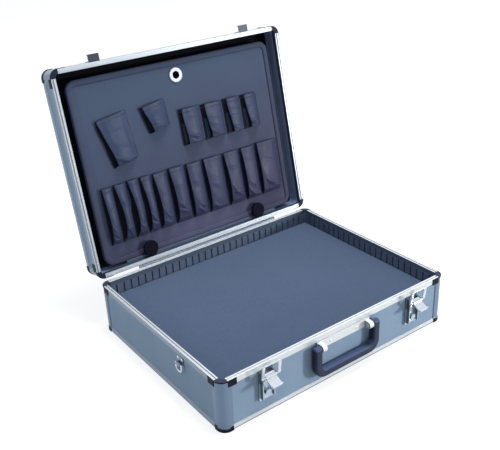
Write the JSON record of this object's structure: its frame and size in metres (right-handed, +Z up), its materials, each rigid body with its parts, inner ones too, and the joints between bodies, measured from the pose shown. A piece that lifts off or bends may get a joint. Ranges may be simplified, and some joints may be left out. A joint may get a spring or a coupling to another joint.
{
  "type": "framed tool case",
  "caption": "Aluminium-framed tool case standing open, with a pocketed tool pallet in the shallow lid, slotted divider walls and a foam pad in the base, draw latches and a carry handle.",
  "frame": {"origin": "middle of the underside of the base", "axes": "+Z up, X along the width, the front with latches and handle towards -Y"},
  "size_m": [0.4688, 0.5001, 0.4512],
  "materials": {
    "panel_board": "satin silver-grey laminate on board",
    "frame_aluminium": "satin anodised",
    "cap_plastic": "black moulded",
    "divider_plastic": "dark slotted lining",
    "foam": "blue-grey foam",
    "hinge_steel": "plated",
    "latch_chrome": "nickel plated",
    "handle_plastic": "dark moulded",
    "lid_lining": "dark lining",
    "pallet_vinyl": "padded vinyl",
    "pocket_vinyl": "soft vinyl",
    "binding_tape": "woven edge tape",
    "spacer_board": "plain batten",
    "knob_plastic": "dark moulded"
  },
  "bodies": {
    "base": {"base_bottom_caps": "cap_plastic", "base_bottom_panel": "panel_board", "base_corner_posts": "frame_aluminium", "base_edge_angles": "frame_aluminium", "base_front_panel": "panel_board", "base_left_panel": "panel_board", "base_rear_panel": "panel_board", "base_right_panel": "panel_board", "base_rim_caps": "cap_plastic", "base_rim_front": "frame_aluminium", "base_rim_left": "frame_aluminium", "base_rim_rear": "frame_aluminium", "base_rim_right": "frame_aluminium", "base_rivets": "latch_chrome", "divider_walls": "divider_plastic", "foam_pad": "foam", "handle_bracket": "frame_aluminium", "handle_pins": "latch_chrome", "hinge_base_leaf": "hinge_steel", "hinge_pin": "hinge_steel", "latch_pins": "latch_chrome", "latch_plate_left": "latch_chrome", "latch_plate_right": "latch_chrome", "strap_anchors": "latch_chrome"},
    "lid": {"hinge_lid_leaf": "hinge_steel", "lid_catch_left": "latch_chrome", "lid_catch_right": "latch_chrome", "lid_corner_posts": "frame_aluminium", "lid_edge_angles": "frame_aluminium", "lid_front_panel": "panel_board", "lid_left_panel": "panel_board", "lid_liner": "lid_lining", "lid_outer_caps": "cap_plastic", "lid_rear_panel": "panel_board", "lid_right_panel": "panel_board", "lid_rim_caps": "cap_plastic", "lid_rim_front": "frame_aluminium", "lid_rim_left": "frame_aluminium", "lid_rim_rear": "frame_aluminium", "lid_rim_right": "frame_aluminium", "lid_rivets": "latch_chrome", "lid_top_panel": "panel_board", "pallet_binding": "binding_tape", "pallet_keeper": "knob_plastic", "pallet_spacers": "spacer_board", "pocket_large": "pocket_vinyl", "pocket_row_lower": "pocket_vinyl", "pocket_row_upper": "pocket_vinyl", "pocket_small": "pocket_vinyl", "pull_eyelet": "latch_chrome", "tool_pallet": "pallet_vinyl"},
    "lever_left": {"latch_lever_left": "latch_chrome"},
    "lever_right": {"latch_lever_right": "latch_chrome"},
    "loop_left": {"latch_loop_left": "latch_chrome"},
    "loop_right": {"latch_loop_right": "latch_chrome"},
    "handle": {"carry_handle": "handle_plastic"},
    "ring_left": {"strap_ring_left": "latch_chrome"},
    "ring_right": {"strap_ring_right": "latch_chrome"},
    "knob_left": {"turn_knob_left": "knob_plastic"},
    "knob_right": {"turn_knob_right": "knob_plastic"}
  },
  "joints": [
    {"name": "lid_hinge", "type": "hinge", "parent": "base", "child": "lid", "pos_m": [0, 0.1807, 0.0882], "axis": [1, 0, 0], "range_deg": [0, 101.9]},
    {"name": "lever_left_pivot", "type": "hinge", "parent": "base", "child": "lever_left", "pos_m": [-0.15, -0.1845, 0.072], "axis": [-1, 0, 0], "range_deg": [-60, 45]},
    {"name": "loop_left_pivot", "type": "hinge", "parent": "lever_left", "child": "loop_left", "pos_m": [-0.15, -0.1895, 0.072], "axis": [-1, 0, 0], "range_deg": [-51.01, 68.01]},
    {"name": "lever_right_pivot", "type": "hinge", "parent": "base", "child": "lever_right", "pos_m": [0.15, -0.1845, 0.072], "axis": [-1, 0, 0], "range_deg": [-60, 45]},
    {"name": "loop_right_pivot", "type": "hinge", "parent": "lever_right", "child": "loop_right", "pos_m": [0.15, -0.1895, 0.072], "axis": [-1, 0, 0], "range_deg": [-51.01, 68.01]},
    {"name": "handle_fold", "type": "hinge", "parent": "base", "child": "handle", "pos_m": [0, -0.185, 0.07], "axis": [-1, 0, 0], "range_deg": [0, 100]},
    {"name": "ring_left_swing", "type": "hinge", "parent": "base", "child": "ring_left", "pos_m": [-0.2315, -0.075, 0.066], "axis": [0, 1, 0], "range_deg": [0, 110]},
    {"name": "ring_right_swing", "type": "hinge", "parent": "base", "child": "ring_right", "pos_m": [0.2315, -0.075, 0.066], "axis": [0, -1, 0], "range_deg": [0, 110]},
    {"name": "knob_left_turn", "type": "hinge", "parent": "lid", "child": "knob_left", "pos_m": [-0.119, 0.19852, 0.11071], "axis": [0, -0.9785, 0.2062], "range_deg": [0, 90]},
    {"name": "knob_right_turn", "type": "hinge", "parent": "lid", "child": "knob_right", "pos_m": [0.119, 0.19852, 0.11071], "axis": [0, -0.9785, 0.2062], "range_deg": [-90, 0]}
  ],
  "couplings": [
    {"joint": "loop_left_pivot", "follows": "lever_left_pivot", "ratio": -1.1333},
    {"joint": "loop_right_pivot", "follows": "lever_right_pivot", "ratio": -1.1333}
  ]
}
